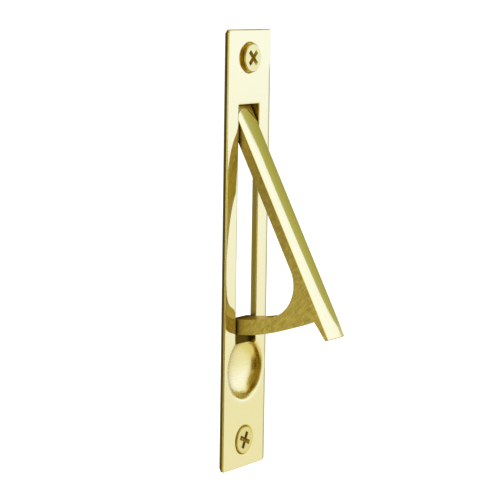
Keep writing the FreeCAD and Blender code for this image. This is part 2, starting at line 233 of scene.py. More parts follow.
class StudioSetup(bpy.types.PropertyGroup):
    """Floor, lamps, cards and camera"""

    floor_drop: FloatProperty(
        name="Floor drop", description="Distance from the pull's lower end to the floor",
        unit="LENGTH", default=0.045)
    floor_colour: FloatVectorProperty(
        name="Floor", description="Colour of the studio floor",
        subtype="COLOR", size=3, min=0, max=1, default=(0.8, 0.8, 0.8))
    near_glow: FloatVectorProperty(
        name="Near floor", description="Colour of the floor in the polish, close by",
        subtype="COLOR", size=3, min=0, soft_max=2, default=(0.952, 0.936, 0.726))
    under_glow: FloatVectorProperty(
        name="Floor below", description="Colour in the polish of the floor right below the pull",
        subtype="COLOR", size=3, min=0, soft_max=2, default=(0.84, 0.78, 0.44))
    far_glow: FloatVectorProperty(
        name="Far floor", description="Colour of the floor in the polish, far off",
        subtype="COLOR", size=3, min=0, soft_max=2, default=(1.09, 1.145, 1.28))
    edge_glow: FloatVectorProperty(
        name="Side floor", description="Colour in the polish of the floor at the right",
        subtype="COLOR", size=3, min=0, max=1, default=(0.45, 0.455, 0.31))
    edge_side: FloatProperty(
        name="Side floor start", description="Where that part of the floor starts, right of the front",
        unit="ROTATION", default=radians(68))
    key_power: FloatProperty(
        name="Key power", description="Power of the lamp at the right",
        unit="POWER", default=5.8)
    top_power: FloatProperty(
        name="Top power", description="Power of the lamp overhead",
        unit="POWER", default=3.0)
    soft_box: FloatVectorProperty(
        name="Soft box", description="Glow of the soft box that lights the lever's left half",
        subtype="COLOR", size=3, min=0, soft_max=2, default=(1.09, 1.16, 1.32))
    olive_card: FloatVectorProperty(
        name="Olive card", description="Colour of the card that darkens the lever's right half",
        subtype="COLOR", size=3, min=0, max=1, default=(0.355, 0.352, 0.075))
    olive_left: FloatVectorProperty(
        name="Olive card's left", description="Colour of that card at its left end",
        subtype="COLOR", size=3, min=0, max=1, default=(0.50, 0.50, 0.17))
    back_card: FloatVectorProperty(
        name="Back card", description="Colour of the dim card behind at the left",
        subtype="COLOR", size=3, min=0, max=1, default=(0.52, 0.50, 0.44))
    room_card: FloatVectorProperty(
        name="Room card", description="Colour of the dim room behind the camera",
        subtype="COLOR", size=3, min=0, max=1, default=(0.27, 0.20, 0.05))
    upper_room: FloatVectorProperty(
        name="Upper room", description="Colour of the room above that card",
        subtype="COLOR", size=3, min=0, max=1, default=(0.42, 0.34, 0.12))
    side_card: FloatVectorProperty(
        name="Side card", description="Colour of the dark card at the far right",
        subtype="COLOR", size=3, min=0, max=1, default=(0.18, 0.12, 0.012))
    camera_place: FloatVectorProperty(
        name="Camera place", description="Where the camera stands",
        subtype="TRANSLATION", unit="LENGTH", size=3, default=(-0.54822, -0.37948, 0.09117))
    camera_turn: FloatVectorProperty(
        name="Camera turn", description="Tilt, yaw and roll of the camera",
        subtype="EULER", unit="ROTATION", size=3,
        default=(radians(7.763), radians(-55.563), radians(0.899)))
    lens: FloatProperty(
        name="Lens", description="Focal length of the camera in millimetres", default=140.0)


# Nodes

def rgba(colour, gain=1.0):
    """A property's colour as a node's colour."""
    return (*(c * gain for c in colour), 1.0)


class Wiring:
    """Places nodes in one tree and links them."""

    def __init__(self, tree):
        self.tree = tree

    def connect(self, value, socket):
        """Link a socket, or set its value."""
        if isinstance(value, bpy.types.NodeSocket):
            self.tree.links.new(value, socket)
        else:
            socket.default_value = value

    def node(self, kind, inputs=None, **settings):
        """Add a node, set its options, and link or set its inputs."""
        made = self.tree.nodes.new(kind)
        for name, value in settings.items():
            setattr(made, name, value)
        for key, value in (inputs or {}).items():
            self.connect(value, made.inputs[key])
        return made

    def coordinates(self):
        """The surface's own coordinates, in metres."""
        return self.node("ShaderNodeTexCoord").outputs["Object"]

    def axes(self, vector):
        """The three parts of a vector."""
        return self.node("ShaderNodeSeparateXYZ", {"Vector": vector}).outputs[:]

    def mapped(self, vector, scale=(1, 1, 1), turn=(0, 0, 0)):
        """A vector that is stretched, then turned."""
        return self.node("ShaderNodeMapping", {"Vector": vector, "Scale": scale, "Rotation": turn}).outputs[0]

    def math(self, operation, a, b=0.0, clamp=False):
        """One step of arithmetic."""
        return self.node("ShaderNodeMath", {0: a, 1: b}, operation=operation, use_clamp=clamp).outputs[0]

    def vector(self, operation, a, b=(0, 0, 0), output="Vector"):
        """One step of arithmetic with vectors."""
        return self.node("ShaderNodeVectorMath", {0: a, 1: b}, operation=operation).outputs[output]

    def times(self, first, *others):
        """A product."""
        for other in others:
            first = self.math("MULTIPLY", first, other)
        return first

    def plus(self, first, *others):
        """A sum."""
        for other in others:
            first = self.math("ADD", first, other)
        return first

    def square_sum(self, a, b):
        """The sum of two squares."""
        return self.plus(self.times(a, a), self.times(b, b))

    def either(self, a, b):
        """The larger of two masks."""
        return self.math("MAXIMUM", a, b)

    def outside(self, mask):
        """What a mask leaves over."""
        return self.math("SUBTRACT", 1.0, mask)

    def slope(self, value, low, high, to_low=0.0, to_high=1.0, shape="LINEAR"):
        """A straight slope from one value to another."""
        ends = {"Value": value, "From Min": low, "From Max": high, "To Min": to_low, "To Max": to_high}
        return self.node("ShaderNodeMapRange", ends, interpolation_type=shape).outputs["Result"]

    def step(self, value, low, high, to_low=0.0, to_high=1.0):
        """A smooth step from one value to another."""
        return self.slope(value, low, high, to_low, to_high, "SMOOTHSTEP")

    def within(self, spread, radius):
        """A round mask, from the square of the distance to its middle."""
        return self.step(spread, (radius + SOFT) ** 2, (radius - SOFT) ** 2)

    def blend(self, factor, a, b):
        """A mix of two colours."""
        return self.node("ShaderNodeMix", {0: factor, 6: a, 7: b}, data_type="RGBA").outputs[2]

    def shades(self, factor, colour, gain_a, gain_b):
        """A mix of two shades of one colour."""
        return self.blend(factor, rgba(colour, gain_a), rgba(colour, gain_b))

    def lerp(self, factor, a, b):
        """A mix of two values."""
        return self.node("ShaderNodeMix", {0: factor, 2: a, 3: b}, data_type="FLOAT").outputs[0]

    def noise(self, vector, scale, detail=2.0, roughness=0.5):
        """Noise at so many cells to the metre."""
        made = self.node("ShaderNodeTexNoise",
                         {"Vector": vector, "Scale": scale, "Detail": detail, "Roughness": roughness})
        return made.outputs["Fac"]

    def group(self, group, inputs):
        """A group placed in a material with its own values."""
        return self.node("ShaderNodeGroup", inputs, node_tree=group).outputs

    def facing(self, direction, start, end):
        """A mask of the faces that point in a direction."""
        return self.group(facing_group(), {"Direction": direction, "From": start, "To": end})["Mask"]

    def grain(self, vector, patches, grain):
        """The sand-cast skin's mottling, pits and height."""
        return self.group(sand_grain_group(), {"Vector": vector, "Patches": patches, "Grain": grain})

    def lines(self, vector, density):
        """The buffing wheel's lines, haze and height."""
        return self.group(polish_lines_group(), {"Vector": vector, "Density": density})

    def wear_and_highlight(self, radius):
        """A mask of the rubbed edges, which also serves as a painted highlight along them."""
        return self.group(wear_and_highlight_group(), {"Radius": radius})["Mask"]


# Effects that several materials share

def shared_group(name, inputs, outputs, wire):
    """A shader node group with named sockets, wired up the first time that a material asks for it."""
    group = bpy.data.node_groups.get(name)
    if group is None:
        group = bpy.data.node_groups.new(name, "ShaderNodeTree")
        for label, default in inputs.items():
            kind = "NodeSocketFloat" if isinstance(default, float) else "NodeSocketVector"
            socket = group.interface.new_socket(label, in_out="INPUT", socket_type=kind)
            if default is not None:
                socket.default_value = default
        for label in outputs:
            group.interface.new_socket(label, in_out="OUTPUT", socket_type="NodeSocketFloat")
        w = Wiring(group)
        entry = w.node("NodeGroupInput").outputs
        leave = w.node("NodeGroupOutput").inputs
        for label, result in zip(outputs, wire(w, entry)):
            w.connect(result, leave[label])
    return group


def facing_group():
    """Where the surface faces a direction, in the object's own axes."""
    def wire(w, entry):
        normal = w.node("ShaderNodeTexCoord").outputs["Normal"]
        dot = w.vector("DOT_PRODUCT", normal, entry["Direction"], output="Value")
        return [w.step(dot, entry["From"], entry["To"])]

    return shared_group("facing", {"Direction": FRONT, "From": 0.8, "To": 0.95}, ["Mask"], wire)


def sand_grain_group():
    """Mottling and grain of a sand-cast skin."""
    def wire(w, entry):
        patches = w.noise(entry["Vector"], entry["Patches"], 4.0, 0.62)
        grain = w.noise(entry["Vector"], entry["Grain"], 3.0, 0.6)
        pit_scale = w.times(entry["Grain"], 0.6)
        cells = w.node("ShaderNodeTexVoronoi", {"Vector": entry["Vector"], "Scale": pit_scale})
        pits = w.step(cells.outputs["Distance"], 0.12, 0.42, 1.0, 0.0)
        return [w.step(patches, 0.34, 0.68), pits, w.math("SUBTRACT", grain, w.times(pits, 0.35))]

    return shared_group("sand_grain", {"Vector": None, "Patches": 420.0, "Grain": 2400.0},
                        ["Mottle", "Pits", "Height"], wire)


def polish_lines_group():
    """Fine lines that a buffing wheel leaves along a stretched coordinate."""
    def wire(w, entry):
        fine = w.noise(entry["Vector"], entry["Density"], 3.0, 0.65)
        wide = w.noise(entry["Vector"], w.times(entry["Density"], 0.16), 2.0, 0.5)
        return [w.step(fine, 0.36, 0.66), w.step(wide, 0.35, 0.7), w.plus(w.times(fine, 0.4), wide)]

    return shared_group("polish_lines", {"Vector": None, "Density": 2600.0},
                        ["Lines", "Haze", "Height"], wire)


def wear_and_highlight_group():
    """Where handling has rubbed an edge bright, which also paints a highlight along the edges."""
    def wire(w, entry):
        rounded = w.node("ShaderNodeBevel", {"Radius": entry["Radius"]}, samples=6).outputs["Normal"]
        flat = w.node("ShaderNodeNewGeometry").outputs["Normal"]
        worn = w.step(w.vector("DOT_PRODUCT", rounded, flat, output="Value"), 0.985, 0.86)
        patchy = w.step(w.noise(w.coordinates(), entry["Breakup"], 3.0), 0.3, 0.6, 0.35, 1.0)
        return [w.times(worn, patchy)]

    return shared_group("edge_wear_and_highlight", {"Radius": 0.0003, "Breakup": 600.0}, ["Mask"], wire)


# Materials

def empty_material(name):
    """A material without nodes, and its wiring."""
    material = bpy.data.materials.new(name)
    material.use_nodes = True
    material.node_tree.nodes.clear()
    return material, Wiring(material.node_tree)


def new_brass(name):
    """A material whose one shader is a metal."""
    material, w = empty_material(name)
    shader = w.node("ShaderNodeBsdfPrincipled", {"Metallic": 1.0})
    w.node("ShaderNodeOutputMaterial", {"Surface": shader.outputs["BSDF"]})
    return material, w, shader


def dress(w, shader, colour, roughness, height):
    """Give the shader its colour, roughness and relief, with the height in metres."""
    w.connect(colour, shader.inputs["Base Color"])
    w.connect(roughness, shader.inputs["Roughness"])
    bump = w.node("ShaderNodeBump", {"Height": height, "Distance": 1.0, "Strength": 1.0})
    w.connect(bump.outputs["Normal"], shader.inputs["Normal"])


def lacquer(w, shader, polish, weight, roughness):
    """A thin clear coat over the polished faces."""
    w.connect(w.times(polish, weight), shader.inputs["Coat Weight"])
    shader.inputs["Coat Roughness"].default_value = roughness


def plate_material(finish):
    """Buffed front, satin scoop, filed sides, dull slot walls and back, with painted shade on the sides, the
    slot walls, inside the hinge housing and on the scoop's right wall.
    """
    material, w, shader = new_brass("plate_brass")
    where = w.coordinates()
    x, y, z = w.axes(where)
    aside = w.math("ABSOLUTE", x)
    grain = w.grain(where, 900.0, 3000.0)
    lines = w.lines(w.mapped(where, scale=(1, 1, 0.03)), 1500.0)
    slot_side = finish.slot_half_width

    def sunk(start, end):
        """A mask that comes up between two depths behind the plate's front, in millimetres."""
        return w.step(y, PLATE_FRONT + start * MM, PLATE_FRONT + end * MM)

    # Where each finish lies
    outward = w.square_sum(
        w.math("DIVIDE", x, finish.scoop_half_width),
        w.math("DIVIDE", w.math("SUBTRACT", z, finish.scoop_height), finish.scoop_half_height))
    scoop = w.times(w.step(outward, 1.16, 1.08), sunk(0.02, 0.2), w.facing(FRONT, 0.0, 0.12))
    from_screw = w.square_sum(x, w.math("SUBTRACT", w.math("ABSOLUTE", z), SCREW_HEIGHT))
    ring = w.times(w.within(from_screw, finish.countersink_radius), sunk(0.03, 0.12))
    housing = w.facing((0, 0.8, 0.6), 0.35, 0.55)
    slot = w.times(w.step(aside, slot_side + 3 * SOFT, slot_side + SOFT), sunk(0.2, 0.8),
                   w.outside(w.either(scoop, housing)))
    recess = w.either(slot, ring)
    # Painted shade inside the hinge housing, behind the slot above the pivot
    housing_shade = w.times(w.step(aside, slot_side - SOFT, slot_side - 3 * SOFT), w.step(y, 0.0, 0.4 * MM),
                   w.step(z, PIVOT.z, PIVOT.z + MM), w.outside(housing))
    side = w.times(sunk(0.3, 0.7), w.step(y, 0.2 * MM, -0.2 * MM))
    front = w.times(w.facing(FRONT, 0.80, 0.97), sunk(0.8, 0.4))
    polish = w.times(w.either(front, w.times(w.wear_and_highlight(0.4 * MM), 0.4)), w.outside(recess))

    # Colours
    filed = w.shades(grain["Mottle"], finish.cast, 0.94, 1.04)
    # Painted shade: the slot's walls darken toward brown, and the rings round the screws a little
    filed = w.blend(w.either(w.times(slot, 0.62), w.times(ring, 0.1)), filed, rgba(finish.tarnish_and_shade))
    # Painted shade darkens the plate's sides, outside the slot and the screw rings
    filed = w.blend(w.math("SUBTRACT", side, recess, clamp=True), filed, rgba(finish.tarnish_and_shade, 0.62))
    filed = w.blend(w.times(ring, 0.7), filed, rgba(finish.gold))
    filed = w.blend(housing_shade, filed, rgba(finish.tarnish_and_shade, 0.3))
    buffed = w.shades(w.times(lines["Haze"], 0.12), finish.polished, 1.0, 0.94)
    satin = w.shades(grain["Mottle"], finish.satin, 1.0, 1.06)
    satin = w.blend(w.step(outward, 0.3, 1.0, 0.0, 0.4), satin, rgba(finish.gold))
    # Painted shade on the scoop's right wall: darker brass where it faces left and up, darker still where it
    # faces straight left
    satin = w.blend(w.facing((-0.93, 0, 0.37), 0.5, 0.8), satin, rgba(finish.cast, 0.85))
    satin = w.blend(w.facing(LEFT, 0.72, 0.92), satin, rgba(finish.tarnish_and_shade, 1.9))
    colour = w.blend(scoop, w.blend(polish, filed, buffed), satin)

    # Roughness
    mirror, cast, silk = finish.mirror_roughness, finish.cast_roughness, finish.satin_roughness
    buffed_rough = w.lerp(lines["Lines"], mirror, mirror + 0.03)
    filed_rough = w.lerp(grain["Mottle"], cast - 0.06, cast - 0.14)
    satin_rough = w.lerp(grain["Mottle"], silk, silk + 0.05)
    roughness = w.lerp(scoop, w.lerp(polish, filed_rough, buffed_rough), satin_rough)

    # Relief: the pillowed face, the rolled edges of slot and scoop, then grit and hair lines
    broad = w.math("POWER", w.math("DIVIDE", aside, PLATE_HALF_WIDTH), 6.0)
    rolled = w.slope(aside, slot_side, slot_side + 1.2 * MM, 1.0, 0.0)
    beside_slot = w.times(w.step(z, SLOT_LOW - 2 * MM, SLOT_LOW), w.step(z, SLOT_HIGH + MM, SLOT_HIGH))
    lip = w.slope(outward, 1.0, 1.5, 1.0, 0.0)
    pillow = w.plus(w.times(broad, -finish.pillow),
                    w.times(rolled, rolled, beside_slot, -finish.rolled_edge),
                    w.times(lip, lip, -finish.rolled_lip))
    grit = w.times(grain["Height"], w.lerp(polish, 12 * MICRON, 0.0), w.outside(w.either(scoop, ring)))
    height = w.plus(grit, w.times(lines["Height"], 0.6 * MICRON), w.times(pillow, polish))
    dress(w, shader, colour, roughness, height)
    lacquer(w, shader, polish, 0.3, 0.04)
    return material


def lever_material(finish):
    """Buffed and streaked front, sand-cast sides and grip, painted shade in the slot and toward the head, and
    a painted highlight on the crown's rim.
    """
    material, w, shader = new_brass("lever_brass")
    shader.inputs["Specular Tint"].default_value = rgba(finish.grazing)
    where = w.coordinates()
    depth, height = w.axes(where)[1:]
    upright = w.mapped(w.vector("SUBTRACT", where, PIVOT), turn=(OPEN_ANGLE, 0, 0))
    across, _, along = w.axes(upright)
    grain = w.grain(where, 560.0, 5200.0)
    lines = w.lines(w.mapped(upright, scale=(1, 1, 0.02)), 2300.0)
    slanted = w.mapped(w.mapped(where, turn=(radians(-40), 0, 0)), scale=(1, 1, 0.12))
    file_marks = w.lines(slanted, 2600.0)["Lines"]

    # Where each finish lies
    side = w.either(w.facing(LEFT, 0.6, 0.8), w.facing(RIGHT, 0.6, 0.8))
    beyond = w.math("MAXIMUM", w.math("SUBTRACT", along, finish.crown_end_centre), 0.0)
    spread = w.square_sum(across, beyond)
    crown = w.within(spread, finish.crown_end_radius)
    # A painted highlight along the rim of the crown's round end
    crown_rim_highlight = w.math("SUBTRACT", w.within(spread, finish.crown_end_radius + 4 * SOFT), crown)
    front = w.times(w.facing(LEVER_FRONT, 0.90, 0.955), crown)
    head = w.facing((0, -0.6, 0.8), 0.3, 0.6)
    # Painted shade on the lever where it lies in the slot, close to the plate's front
    slot_shade = w.times(w.step(depth, PLATE_FRONT - 1.6 * MM, PLATE_FRONT + 1.6 * MM),
                      w.step(height, PIVOT.z - 2 * MM, PIVOT.z - 6 * MM))
    slot_shade = w.times(w.math("SUBTRACT", slot_shade, w.facing(BACK, 0.2, 0.5), clamp=True),
                      w.step(depth, 4 * MM, MM))
    left_edge = w.step(across, -finish.lever_edge + 4 * SOFT, -finish.lever_edge + SOFT)
    polish = w.either(front, w.times(w.wear_and_highlight(0.3 * MM), 0.35, side))

    # Colours
    cast = w.shades(grain["Mottle"], finish.cast, 0.95, 1.22)
    cast = w.blend(w.times(file_marks, 0.34), cast, rgba(finish.tarnish_and_shade, 1.3))
    # Painted shade: the cast sides darken toward the head
    cast = w.blend(w.step(height, -30 * MM, 40 * MM, 0.0, 0.67), cast, rgba(finish.tarnish_and_shade, 1.3))
    cast = w.blend(w.times(grain["Pits"], 0.25), cast, rgba(finish.tarnish_and_shade))
    grip = w.shades(grain["Mottle"], finish.cast, 0.8, 0.92)
    grip = w.blend(w.times(w.facing(UP, 0.6, 0.85), 0.6), grip, rgba(finish.tarnish_and_shade, 1.4))
    rough = w.blend(side, grip, cast)
    rough = w.blend(w.times(head, w.outside(crown)), rough, rgba(finish.gold))
    rough = w.blend(w.times(head, crown_rim_highlight), rough, rgba(finish.polished, 1.1))
    rough = w.blend(slot_shade, rough, rgba(finish.tarnish_and_shade, 0.38))
    buffed = w.shades(w.times(lines["Lines"], 0.25), finish.polished, 1.03, 0.9)
    colour = w.blend(polish, rough, buffed)
    colour = w.blend(left_edge, colour, w.blend(front, colour, rgba(finish.gold)))

    # Roughness
    buffed_rough = w.lerp(lines["Haze"], finish.mirror_roughness + 0.02, finish.mirror_roughness + 0.06)
    cast_rough = w.lerp(grain["Mottle"], finish.cast_roughness + 0.06, finish.cast_roughness - 0.06)
    grip_rough = w.lerp(grain["Mottle"], finish.satin_roughness + 0.1, finish.satin_roughness + 0.16)
    roughness = w.lerp(polish, w.lerp(side, grip_rough, cast_rough), buffed_rough)

    # Relief
    grit = w.times(grain["Height"], w.lerp(side, 4 * MICRON, 10 * MICRON), w.outside(polish))
    dress(w, shader, colour, roughness, w.plus(grit, w.times(lines["Height"], 1.5 * MICRON)))
    lacquer(w, shader, polish, 0.3, 0.05)
    return material


def pin_material(finish):
    """Drawn rod with lines round it and a dull skin."""
    material, w, shader = new_brass("pin_brass")
    where = w.coordinates()
    grain = w.grain(where, 700.0, 3200.0)
    lines = w.lines(w.mapped(where, scale=(0.04, 1, 1)), 3000.0)
    drawn = w.shades(lines["Lines"], finish.cast, 1.25, 1.0)
    dull = w.blend(w.times(grain["Mottle"], 0.4), drawn, rgba(finish.tarnish_and_shade, 1.6))
    colour = w.blend(w.wear_and_highlight(0.2 * MM), dull, rgba(finish.polished))
    roughness = w.lerp(lines["Haze"], 0.26, 0.36)
    dress(w, shader, colour, roughness, w.times(lines["Height"], 10 * MICRON))
    return material


def screw_material(finish):
    """Buffed face, gold rim darkened with painted shade, darker cast brass down in the cross."""
    material, w, shader = new_brass("screw_brass")
    where = w.coordinates()
    x, y, z = w.axes(where)
    grain = w.grain(where, 900.0, 3000.0)
    lines = w.lines(where, 1200.0)

    spread = w.square_sum(x, w.math("SUBTRACT", w.math("ABSOLUTE", z), SCREW_HEIGHT))
    inner = w.within(spread, finish.screw_face_radius)
    face = w.times(w.facing(FRONT, 0.85, 0.97), w.step(y, PLATE_FRONT + 4 * SOFT, PLATE_FRONT + SOFT))
    polish = w.times(w.either(face, w.times(w.wear_and_highlight(0.2 * MM), 0.3)), inner)

    bright = w.shades(w.times(lines["Haze"], 0.3), finish.screw, 1.0, 0.9)
    gold = w.shades(grain["Mottle"], finish.gold, 0.96, 1.04)
    # Painted shade: outside the bright face, the head's rim and the cone under it darken toward brown
    gold = w.blend(w.times(w.outside(inner), 0.45), gold, rgba(finish.tarnish_and_shade))
    gold = w.blend(inner, gold, rgba(finish.cast, 0.8))
    roughness = w.lerp(polish, w.lerp(grain["Mottle"], 0.44, 0.34), w.lerp(lines["Lines"], 0.07, 0.13))
    grit = w.times(grain["Height"], w.lerp(polish, 4 * MICRON, 0.0))
    dress(w, shader, w.blend(polish, gold, bright), roughness, w.plus(grit, w.times(lines["Height"], MICRON)))
    lacquer(w, shader, polish, 0.2, 0.05)
    return material


# Meshes

# Steps to a full turn of the roof and of a thread
ROOF_STEPS = 144
THREAD_STEPS = 32

# Where a thread is rooted, as a share of the shank's radius, and its crest's share of the root's width
THREAD_ROOT = 0.9
THREAD_CREST = 0.2


def deselect():
    """Leave nothing selected."""
    if bpy.context.mode != "OBJECT":
        bpy.ops.object.mode_set(mode="OBJECT")
    bpy.ops.object.select_all(action="DESELECT")


def pick(piece):
    """Select one object only, and make it active."""
    deselect()
    piece.select_set(True)
    bpy.context.view_layer.objects.active = piece


def pick_vertices(piece, wanted):
    """Select only the vertices that meet a test, and go into edit mode."""
    pick(piece)
    for part in (piece.data.edges, piece.data.polygons):
        part.foreach_set("select", [False] * len(part))
    for vertex in piece.data.vertices:
        vertex.select = wanted(vertex.co)
    bpy.ops.object.mode_set(mode="EDIT")
    bpy.ops.mesh.select_mode(type="VERT")


def finish_piece(piece, name, body, material):
    """Name a piece, give it its brass, and let it ride on its body."""
    piece.name = name
    piece.data.name = name
    piece.data.materials.clear()
    piece.data.materials.append(material)
    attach(piece, body)


def welded_copy(node, name, body, material):
    """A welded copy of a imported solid, smooth over its curved faces, that stands for it."""
    source = frame["nodes"][node]
    pick(source)
    bpy.ops.object.duplicate()
    piece = bpy.context.active_object
    if piece is source:
        raise RuntimeError(f"no copy was made of {node}")
    del piece["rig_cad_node"]
    bpy.ops.object.mode_set(mode="EDIT")
    bpy.ops.mesh.select_all(action="SELECT")
    bpy.ops.mesh.remove_doubles(threshold=MICRON)
    bpy.ops.mesh.dissolve_limited(angle_limit=FLAT_ANGLE)
    bpy.ops.mesh.customdata_custom_splitnormals_clear()
    bpy.ops.object.mode_set(mode="OBJECT")
    bpy.ops.object.shade_smooth_by_angle(angle=CASTING_ANGLE)
    flats = piece.modifiers.new("flats", "WEIGHTED_NORMAL")
    flats.keep_sharp = True
    flats.weight = 100
    bpy.ops.object.modifier_apply(modifier=flats.name)
    finish_piece(piece, name, body, material)
    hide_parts(node)
    return piece


def curved_roof(details, half_width):
    """The roof of the hinge housing, curved round the lever's head."""
    deselect()
    bpy.ops.mesh.primitive_circle_add(
        vertices=ROOF_STEPS, radius=details.roof_radius, rotation=(0, pi / 2, 0),
        location=(-half_width, PIVOT.y, PIVOT.z))
    roof = bpy.context.active_object
    bpy.ops.object.transform_apply(location=True, rotation=True, scale=True)
    pick_vertices(roof, lambda co: not (
        details.roof_front <= atan2(co.y - PIVOT.y, co.z - PIVOT.z) <= details.roof_back))
    bpy.ops.mesh.delete(type="VERT")
    bpy.ops.mesh.select_all(action="SELECT")
    bpy.ops.mesh.extrude_region_move(TRANSFORM_OT_translate={"value": (2 * half_width, 0, 0)})
    bpy.ops.mesh.select_all(action="SELECT")
    bpy.ops.mesh.normals_make_consistent(inside=False)
    bpy.ops.object.mode_set(mode="OBJECT")
    points_up = roof.data.polygons[0].normal.z > 0
    wall = roof.modifiers.new("wall", "SOLIDIFY")
    wall.thickness = details.roof_thickness
    wall.offset = 1 if points_up else -1
    bpy.ops.object.modifier_apply(modifier=wall.name)
    return roof


def join_to(piece, extra):
    """Make one mesh of a piece and a detail of it."""
    extra.data.materials.append(piece.data.materials[0])
    pick(piece)
    extra.select_set(True)
    bpy.ops.object.join()


def open_cross(screw, height, turn, details):
    """Widen the arms of the cross in a screw's head."""
    arm_width, arm_length = 0.7 * MM, 3 * MM
    middle = Vector((0, 0, height))
    for first in (turn, turn + pi / 2):
        along = Vector((cos(first), 0, -sin(first)))
        across = Vector((sin(first), 0, cos(first)))
        frame_of_arm = Matrix((along, (0, 1, 0), across)).transposed()
        pick_vertices(screw, lambda co: (
            co.y < -SOFT and abs((co - middle).dot(across)) < arm_width
            and arm_width < abs((co - middle).dot(along)) < arm_length))
        bpy.ops.transform.resize(
            value=(details.cross_length, 1, details.cross_width), orient_type="GLOBAL",
            orient_matrix=frame_of_arm, orient_matrix_type="GLOBAL", center_override=middle)
        bpy.ops.object.mode_set(mode="OBJECT")


def screw_thread(name, height, sizes, material):
    """A helical thread wound on a screw's shank behind the plate."""
    deselect()
    root_radius = SHANK_RADIUS * THREAD_ROOT
    middle = (root_radius + sizes.crest_radius) / 2
    depth = sizes.crest_radius - root_radius
    bpy.ops.mesh.primitive_circle_add(
        vertices=4, radius=0.5 ** 0.5, rotation=(0, 0, pi / 4), location=(middle, sizes.start, 0))
    thread = bpy.context.active_object
    thread.scale = (depth, sizes.root_width, 1)
    bpy.ops.object.transform_apply(location=True, rotation=True, scale=True)
    crest = middle + depth / 4
    pick_vertices(thread, lambda co: co.x > crest)
    bpy.ops.transform.resize(value=(1, THREAD_CREST, 1))
    bpy.ops.object.mode_set(mode="OBJECT")
    helix = thread.modifiers.new("helix", "SCREW")
    helix.axis = "Y"
    helix.angle = tau * sizes.turns
    helix.screw_offset = sizes.pitch * sizes.turns
    helix.steps = helix.render_steps = round(THREAD_STEPS * sizes.turns)
    helix.use_normal_calculate = True
    bpy.ops.object.modifier_apply(modifier=helix.name)
    bpy.ops.object.mode_set(mode="EDIT")
    bpy.ops.mesh.select_all(action="DESELECT")
    bpy.ops.mesh.select_non_manifold(extend=False, use_wire=False, use_multi_face=False,
                                     use_non_contiguous=False, use_verts=False)
    bpy.ops.mesh.fill()
    bpy.ops.mesh.select_all(action="SELECT")
    bpy.ops.mesh.normals_make_consistent(inside=False)
    bpy.ops.transform.translate(value=(0, 0, height))
    bpy.ops.object.mode_set(mode="OBJECT")
    bpy.ops.object.shade_smooth_by_angle(angle=THREAD_ANGLE)
    finish_piece(thread, name, "plate", material)


# Operators for the pieces

class EDGEPULL_OT_plate(bpy.types.Operator):
    """Finish the face plate"""

    bl_idname = "edgepull.plate"
    bl_label = "Face plate"

    def execute(self, context):
        finish = context.scene.edge_pull_finish
        casting = welded_copy("face_plate", "plate_casting", "plate", plate_material(finish))
        roof = curved_roof(context.scene.edge_pull_details, finish.slot_half_width + 3 * SOFT)
        join_to(casting, roof)
        return {"FINISHED"}


class EDGEPULL_OT_lever(bpy.types.Operator):
    """Finish the lever that swings out"""

    bl_idname = "edgepull.lever"
    bl_label = "Pull lever"

    def execute(self, context):
        finish = context.scene.edge_pull_finish
        welded_copy("pull_lever", "lever_casting", "lever", lever_material(finish))
        return {"FINISHED"}


class EDGEPULL_OT_pin(bpy.types.Operator):
    """Finish the pin that the lever turns on"""

    bl_idname = "edgepull.pin"
    bl_label = "Pivot pin"

    def execute(self, context):
        finish = context.scene.edge_pull_finish
        welded_copy("pivot_pin", "hinge_pin", "plate", pin_material(finish))
        return {"FINISHED"}


class EDGEPULL_OT_screws(bpy.types.Operator):
    """Finish the two screws and wind their threads"""

    bl_idname = "edgepull.screws"
    bl_label = "Screws"

    def execute(self, context):
        material = screw_material(context.scene.edge_pull_finish)
        sizes = context.scene.edge_pull_threads
        details = context.scene.edge_pull_details
        for end, height, turn in (("upper", SCREW_HEIGHT, details.upper_turn),
                                  ("lower", -SCREW_HEIGHT, details.lower_turn)):
            screw = welded_copy(f"{end}_screw", f"{end}_wood_screw", "plate", material)
            open_cross(screw, height, turn, details)
            screw_thread(f"{end}_thread", height, sizes, material)
        return {"FINISHED"}


# Studio

# Width of the floor in metres, and the glow that whitens it for the camera
FLOOR_SIZE = 80
FLOOR_LIFT = 0.3

# Distances on the floor in metres: where nearness stops rising, and where the part below the pull ends
NEAREST = 0.05
BELOW_INNER = 0.09
BELOW_OUTER = 0.17

# Nearness, one over the root of the distance, at which the far and the near colour are reached
FAR_FLOOR = 0.5
NEAR_FLOOR = 1.75

# Direction along the olive card, and where on it one colour runs into the other
OLIVE_AZIMUTH = 165
OLIVE_START = -0.20
OLIVE_END = 0.15

# Corners of the olive card, which draw the line between the lever's bright and olive halves
OLIVE_CORNERS = [
    (59.3, 25.5), (59.6, 22.3), (61, 19), (64, 16.3), (68, 13), (72, 10.6), (82, 7.6), (88, 5), (89, -3),
    (98, -3), (98, 60), (40, 60), (40, 42), (55, 32.5), (60.3, 28.5)]


def window(left, right, low, high):
    """The corners of a plain card, in degrees right of the front and degrees up."""
    return [(left, low), (right, low), (right, high), (left, high)]


def toward(azimuth, elevation, distance):
    """A point as seen from the pull: degrees right of the front, degrees up, metres off."""
    a, e = radians(azimuth), radians(elevation)
    return Vector((sin(a) * cos(e), -cos(a) * cos(e), sin(e))) * distance


def glow_material(name, colour, left_colour):
    """A card's glow, which may change across the card from its left end."""
    material, w = empty_material(name)
    glow = w.node("ShaderNodeEmission", {"Color": rgba(colour), "Strength": 1.0})
    if left_colour:
        along = w.vector("DOT_PRODUCT", w.coordinates(), toward(OLIVE_AZIMUTH, 0, 1), output="Value")
        across = w.slope(along, OLIVE_START, OLIVE_END)
        w.connect(w.blend(across, rgba(left_colour), rgba(colour)), glow.inputs["Color"])
    w.node("ShaderNodeOutputMaterial", {"Surface": glow.outputs[0]})
    return material


